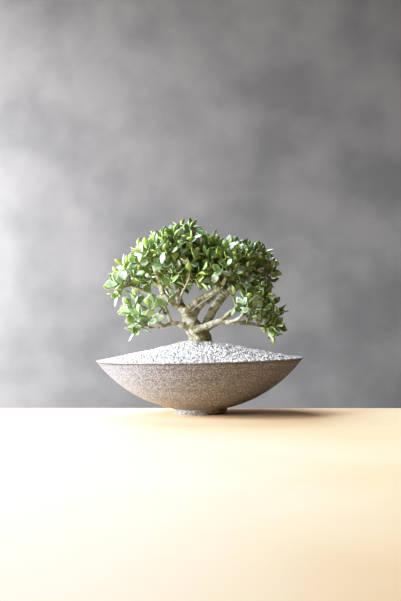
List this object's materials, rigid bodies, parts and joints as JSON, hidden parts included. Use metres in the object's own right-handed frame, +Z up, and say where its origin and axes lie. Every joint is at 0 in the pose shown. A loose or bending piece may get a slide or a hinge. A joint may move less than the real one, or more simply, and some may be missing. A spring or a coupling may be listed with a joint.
{
  "type": "jade bonsai",
  "caption": "Old jade plant with a forked trunk and a wide crown of fleshy leaves, planted in a shallow round stoneware bowl on a low foot, under a mound of white gravel.",
  "frame": {"origin": "centre of the foot's underside, on the bowl's axis", "axes": "+Z up, -Y towards the viewer in front of the tree, +X to the viewer's right, where the lowest right bough reaches"},
  "size_m": [0.5, 0.5, 0.4748],
  "materials": {
    "stoneware": "matte",
    "screen": "matte",
    "soil": "matte",
    "gravel": "matte",
    "bark": "matte",
    "leaf": "satin"
  },
  "bodies": {
    "root": {"pot": "stoneware", "drain_screen": "screen", "soil": "soil", "gravel": "gravel", "trunk": "bark", "spray_01": "leaf", "spray_02": "leaf", "spray_03": "leaf", "spray_04": "leaf", "spray_05": "leaf", "spray_06": "leaf", "spray_07": "leaf", "spray_08": "leaf", "spray_09": "leaf", "spray_10": "leaf", "spray_11": "leaf", "spray_12": "leaf", "spray_13": "leaf", "spray_14": "leaf", "spray_15": "leaf", "spray_16": "leaf", "spray_17": "leaf", "spray_18": "leaf", "spray_19": "leaf", "spray_20": "leaf", "spray_21": "leaf", "spray_22": "leaf", "spray_23": "leaf", "spray_24": "leaf", "spray_25": "leaf", "spray_26": "leaf", "spray_27": "leaf", "spray_28": "leaf", "spray_29": "leaf", "spray_30": "leaf", "spray_31": "leaf", "spray_32": "leaf", "spray_33": "leaf", "spray_34": "leaf", "spray_35": "leaf", "spray_36": "leaf", "spray_37": "leaf", "spray_38": "leaf", "spray_39": "leaf", "spray_40": "leaf"}
  },
  "joints": []
}
